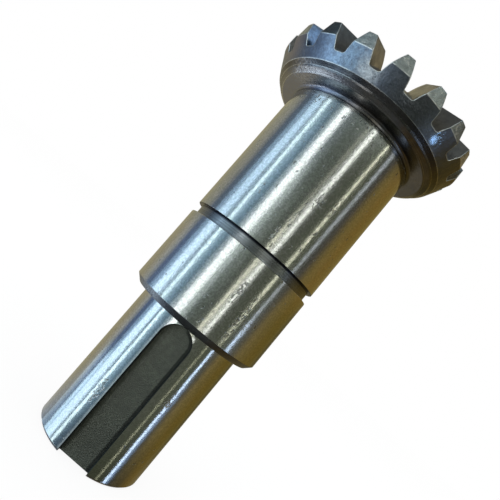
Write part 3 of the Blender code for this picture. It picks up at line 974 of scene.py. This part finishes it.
# %% Turned steel: the end faces and the centre holes
tree, shader, place = open_finish("face")
small = clouds(tree, place, 4.0, cover=0.4, softness=0.3)
colour = mix_colours(tree, small, (0.48, 0.48, 0.47), (0.34, 0.34, 0.33))
heights = [(rings(tree, place, 0.35, 0.8), 0.04), (grain(tree, place, 1.2), 0.02)]
close_finish(tree, shader, place, colour, mix_values(tree, small, 0.28, 0.36), heights)

# %% Milled and scaled: the keyway
tree, shader, place = open_finish("keyway")
small = clouds(tree, place, 1.2, softness=0.3)
cloud = clouds(tree, place, 6.0, softness=0.3)
colour = mix_colours(tree, small, (0.19, 0.20, 0.165), (0.125, 0.13, 0.11))
colour = mix_colours(tree, cloud, colour, (0.135, 0.14, 0.12))
# painted shade along the walls: a wide faint band on one side, a narrow black painted shadow on the other, and a dark
# line all round their foot
across, _, along = add(tree, "SeparateXYZ", {0: place["Place"]}).outputs
past_centre = math_node(tree, "MAXIMUM", math_node(tree, "SUBTRACT", along, KEY_END / MM), 0.0)
from_middle = add(tree, "CombineXYZ", {0: across, 2: past_centre}).outputs[0]
from_middle = add(tree, "VectorMath", {0: from_middle}, operation="LENGTH").outputs["Value"]
wavy = math_node(tree, "ADD", from_middle, math_node(tree, "MULTIPLY_ADD", grain(tree, place, 0.8), 0.4, -0.2))
painted_wide_shade = smooth_step(tree, wavy, 2.4, 2.8, 0.0, 0.1)
painted_wide_shade = math_node(tree, "MULTIPLY", painted_wide_shade, smooth_step(tree, across, 0.3, -0.3))
painted_wall_shadow = smooth_step(tree, wavy, 3.7, 4.1, 0.0, 0.75)
painted_wall_shadow = math_node(tree, "MULTIPLY", painted_wall_shadow, smooth_step(tree, across, 0.0, 1.5))
colour = mix_colours(tree, painted_wide_shade, colour, (0.045, 0.047, 0.042))
colour = mix_colours(tree, painted_wall_shadow, colour, (0.03, 0.032, 0.03))
colour = mix_colours(tree, smooth_step(tree, from_middle, 4.5, 4.8, 0.0, 0.7), colour, (0.02, 0.022, 0.02))
roughness = mix_values(tree, small, 0.42, 0.52)
close_finish(tree, shader, place, colour, roughness, [(grain(tree, place, 3.0), 0.14)], wear=0.6)

# %% [markdown]
# ## Light
#
# Bright metal is mostly its surroundings. On the photograph each light near
# the shaft is one stripe from end to end, so each is a tall soft panel here,
# placed by the angle round the shaft at which its stripe was measured. A
# surround beyond them gives the metal a room to show between the stripes.

# %% Light panels
# azimuth of the middle from the camera's side, width, lowest and highest angle above the level of
# the shaft's middle, lean towards higher azimuths, all in degrees, then colour and radiance
PANELS = {
    "window": (-77, 17, -55, 28, -2, (0.56, 0.78, 1.0), 1.4),
    "window_side": (-89.5, 8, -55, 26, -2, (0.46, 0.72, 1.0), 0.5),
    "window_low": (-76, 16, -55, 5, 0, (0.85, 0.98, 1.0), 0.4),
    "window_low_side": (-91.5, 9, -36, -17.5, 0, (0.62, 0.84, 1.0), 1.1),
    "window_low_tail": (-107, 17, -36, -17, 0, (0.60, 0.80, 1.0), 0.42),
    "window_edge_low": (-60.3, 6.5, -55, 7, 0, (0.74, 0.93, 1.0), 1.8),
    "window_edge_high": (-64.2, 6.3, 7, 50, -9, (0.74, 0.93, 1.0), 1.8),
    "soft_white": (-30.0, 10.7, -55, 50, -2, (0.95, 0.99, 1.0), 1.8),
    "soft_side": (-39.5, 6, -40, 45, 0, (0.85, 0.98, 1.0), 0.3),
    "soft_glow": (-20.5, 11, -14, 19, 0, (0.88, 1.0, 0.96), 0.42),
    "soft_tail": (-8, 12, -2, 16, 0, (0.88, 1.0, 0.96), 0.1),
    "lamp_faint": (12.8, 4, -15, 45, 0, (1.0, 1.0, 0.82), 0.3),
    "lamp_low": (13.1, 5.4, -15, 13, 0, (1.0, 1.0, 0.82), 1.05),
    "lamp": (22.5, 6.6, -15, 50, 2, (0.97, 1.0, 0.96), 1.8),
    "lamp_line_low": (52, 1.2, -35, -6, 0, (1.0, 1.0, 0.72), 1.0),
    "lamp_line": (54.3, 2.8, -6, 50, 7, (1.0, 1.0, 0.80), 2.1),
    "violet_line": (71, 4.2, -5, 50, 11, (0.82, 0.90, 1.0), 0.78),
    "blue_line": (68.9, 4.2, -45, -3, -6, (0.57, 0.73, 1.0), 2.6),
    "blue_tail": (74.5, 7, -45, -14, -4, (0.33, 0.55, 1.0), 0.36),
    "sky_patch": (56, 20, 54, 78, 0, (0.42, 0.70, 1.0), 2.0),
    "overhead": (-35, 40, 60, 80, 0, (0.95, 1.0, 0.95), 0.25),
    "low_window": (-126, 12, -57, -35, 0, (0.74, 0.88, 1.0), 3.2),
}
PANEL_DISTANCE = 1.0
SHAFT_MIDDLE = np.array((0, 0, 75 * MM))
FACING = math.atan2(EYE[0], -EYE[1])  # the turn from -Y to the camera's side

for name, (azimuth, width, low, high, lean, colour, radiance) in PANELS.items():
    turn, rise = math.radians(azimuth) + FACING, math.radians((low + high) / 2)
    towards = np.array((math.sin(turn) * math.cos(rise), -math.cos(turn) * math.cos(rise), math.sin(rise)))
    lamp = bpy.data.lights.new(name, "AREA")
    lamp.shape = "RECTANGLE"
    lamp.size = 2 * PANEL_DISTANCE * math.cos(rise) * math.tan(math.radians(width / 2))
    lamp.size_y = 2 * PANEL_DISTANCE * math.tan(math.radians((high - low) / 2))
    lamp.color = colour
    lamp.energy = radiance * math.pi * lamp.size * lamp.size_y
    holder = bpy.data.objects.new(name, lamp)
    at = SHAFT_MIDDLE + PANEL_DISTANCE * towards
    holder.matrix_world = looking_from(at, SHAFT_MIDDLE, -math.radians(lean)).T
    holder.visible_camera = False
    bpy.context.scene.collection.objects.link(holder)
print("panels:", list(PANELS))

# %% [markdown]
# ## Stage
#
# The shaft stands on a plain white floor in a white room. The floor shows
# nearly white to the camera whatever light falls on it, and keeps a faint
# shadow. The ground steel would mirror a white room as plain white, so a
# surround beyond the panels stands in for it there.

# %% White room and floor
world = bpy.data.worlds.new("white_room")
bpy.context.scene.world = world
world.use_nodes = True
world.node_tree.nodes["Background"].inputs["Color"].default_value = (1, 1, 1, 1)
world.node_tree.nodes["Background"].inputs["Strength"].default_value = 1.0


def stage_piece(name, points, faces):
    """A floor or backdrop, with a fresh material; gives the piece and its material's node tree."""
    mesh = bpy.data.meshes.new(name)
    mesh.from_pydata(points.tolist(), [], faces)
    piece = bpy.data.objects.new(name, mesh)
    bpy.context.scene.collection.objects.link(piece)
    paint = bpy.data.materials.new(name + "_paint")
    paint.use_nodes = True
    mesh.materials.append(paint)
    return piece, paint.node_tree


STAGE_RADIUS, STAGE_SIDES, FLOOR_PAINT, FLOOR_GLOW = 6.0, 64, 0.95, 0.9
turn = np.linspace(0, 2 * math.pi, STAGE_SIDES + 1)[:-1]
circle = np.stack([np.cos(turn), np.sin(turn), np.zeros(STAGE_SIDES)], 1)
floor, tree = stage_piece("floor", circle * STAGE_RADIUS, [list(range(STAGE_SIDES))])
paint = tree.nodes["Principled BSDF"]
paint.inputs["Base Color"].default_value = (FLOOR_PAINT, FLOOR_PAINT, FLOOR_PAINT, 1)
paint.inputs["Roughness"].default_value = 1.0
paint.inputs["Specular IOR Level"].default_value = 0.0
white = add(tree, "Emission", {"Strength": 1.0}).outputs[0]
ray = add(tree, "LightPath").outputs
seen = math_node(tree, "MAXIMUM", ray["Is Camera Ray"], ray["Is Glossy Ray"])
seen = math_node(tree, "MAXIMUM", seen, ray["Is Transmission Ray"])
share = math_node(tree, "MULTIPLY", seen, FLOOR_GLOW)
mixed = add(tree, "MixShader", {0: share, 1: paint.outputs[0], 2: white})
tree.links.new(mixed.outputs[0], tree.nodes["Material Output"].inputs["Surface"])
floor.visible_glossy = False
floor.visible_shadow = False
print("floor of radius", STAGE_RADIUS, "m")

# %% Surround: a dome that only the metal sees
SURROUND_RADIUS, SURROUND_ROWS = 1.5, 33
elevation = np.linspace(-math.pi / 2, math.pi / 2, SURROUND_ROWS)[:, None]
dome = rows_of(np.cos(elevation), np.sin(elevation), turn[None]).reshape(-1, 3) * SURROUND_RADIUS
dome_faces = grid_faces(SURROUND_ROWS, STAGE_SIDES).tolist()
surround, surround_paint = stage_piece("surround", dome, dome_faces)
print("dome of", len(surround.data.polygons), "faces")

# %% Colours of the surround
# azimuth from the camera's side in degrees, then colour; the first list is shared by LEVEL and LOW
IN_FRONT = [
    (-56, (0.42, 0.63, 0.80)),
    (-51, (0.32, 0.50, 0.66)),
    (-46, (0.15, 0.25, 0.34)),
    (-20, (0.22, 0.26, 0.27)),
    (-8, (0.135, 0.16, 0.14)),
    (20, (0.11, 0.12, 0.10)),
    (60, (0.105, 0.115, 0.08)),
]
LEVEL = [
    (-180, (0.34, 0.30, 0.19)),
    (-150, (0.39, 0.36, 0.23)),
    (-116, (0.36, 0.36, 0.32)),
    (-104, (0.13, 0.17, 0.235)),
    (-72, (0.15, 0.22, 0.30)),
    *IN_FRONT,
    (81, (0.085, 0.08, 0.07)),
    (93, (0.20, 0.15, 0.055)),
    (99, (0.245, 0.175, 0.055)),
    (119, (0.245, 0.155, 0.037)),
    (145, (0.23, 0.165, 0.045)),
    (162, (0.28, 0.23, 0.11)),
    (180, (0.34, 0.30, 0.19)),
]
LOW = [
    (-180, (0.34, 0.30, 0.19)),
    (-150, (0.39, 0.355, 0.23)),
    (-135, (0.40, 0.36, 0.24)),
    (-122, (0.42, 0.40, 0.33)),
    (-114, (0.46, 0.47, 0.44)),
    (-103, (0.125, 0.18, 0.32)),
    (-72, (0.15, 0.22, 0.32)),
    *IN_FRONT,
    (72, (0.13, 0.135, 0.12)),
    (79, (0.125, 0.115, 0.085)),
    (91, (0.24, 0.18, 0.068)),
    (101, (0.205, 0.15, 0.046)),
    (115, (0.19, 0.13, 0.028)),
    (131, (0.172, 0.122, 0.027)),
    (139, (0.175, 0.133, 0.04)),
    (148, (0.09, 0.073, 0.025)),
    (158, (0.18, 0.15, 0.08)),
    (180, (0.34, 0.30, 0.19)),
]
ABOVE = [
    (-180, (0.72, 0.62, 0.35)),
    (-140, (0.62, 0.56, 0.36)),
    (-112, (0.06, 0.06, 0.065)),
    (-75, (0.05, 0.055, 0.06)),
    (-57, (0.14, 0.18, 0.21)),
    (-10, (0.22, 0.26, 0.25)),
    (42, (0.42, 0.47, 0.43)),
    (62, (0.06, 0.06, 0.06)),
    (110, (0.08, 0.07, 0.055)),
    (140, (0.50, 0.40, 0.22)),
    (180, (0.72, 0.62, 0.35)),
]
BELOW = [
    (-180, (0.40, 0.43, 0.47)),
    (-150, (0.52, 0.56, 0.62)),
    (-125, (0.34, 0.43, 0.58)),
    (-108, (0.06, 0.10, 0.18)),
    (-20, (0.045, 0.06, 0.08)),
    (10, (0.03, 0.032, 0.034)),
    (38, (0.05, 0.055, 0.03)),
    (100, (0.04, 0.037, 0.032)),
    (124, (0.20, 0.13, 0.04)),
    (158, (0.30, 0.24, 0.12)),
    (180, (0.40, 0.43, 0.47)),
]
TOP, BOTTOM = (0.09, 0.09, 0.085), (0.19, 0.20, 0.19)
# elevation at which a band starts to cover the one before it, elevation past which it is alone, colours
BANDS = [(9, 4, LOW), (26, 33, ABOVE), (47, 54, TOP), (-15, -30, BELOW), (-60, -74, BOTTOM)]
print("bands over LEVEL:", [(start, alone) for start, alone, _ in BANDS])

# %% Blend the bands by height


def azimuth_ramp(tree, sweep, stops):
    """A colour ramp over the whole turn, with a stop at each azimuth."""
    node = add(tree, "ValToRGB", {"Fac": sweep})
    elements = node.color_ramp.elements
    while len(elements) < len(stops):
        elements.new(0.5)
    for element, (azimuth, colour) in zip(elements, stops):
        element.position = (azimuth + 180) / 360
        element.color = (*colour, 1)
    return node.outputs["Color"]


def from_angles(tree, rise, start, end):
    """A mask of the surround that grows from 0 to 1 between two elevations, in degrees."""
    return smooth_step(tree, rise, math.sin(math.radians(start)), math.sin(math.radians(end)))


tree = surround_paint
place = add(tree, "TexCoord").outputs["Object"]
from_camera = add(tree, "Mapping", {"Vector": place, "Rotation": (0, 0, math.pi / 2 - FACING)}).outputs[0]
sweep = add(tree, "TexGradient", {"Vector": from_camera}, gradient_type="RADIAL").outputs["Fac"]
rise = add(tree, "SeparateXYZ", {0: add(tree, "VectorMath", {0: place}, operation="NORMALIZE").outputs[0]}).outputs[2]
shown = azimuth_ramp(tree, sweep, LEVEL)
for start, alone, colours in BANDS:
    band = azimuth_ramp(tree, sweep, colours) if isinstance(colours, list) else colours
    shown = mix_colours(tree, from_angles(tree, rise, start, alone), shown, band)
glow = add(tree, "Emission", {"Color": shown}).outputs[0]
tree.links.new(glow, tree.nodes["Material Output"].inputs["Surface"])
for ray in ("camera", "diffuse", "transmission", "shadow"):
    setattr(surround, "visible_" + ray, False)

# %% Finish
bpy.context.scene.view_settings.view_transform = "Standard"
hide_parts("pinion_shaft")
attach(shaft, "root")
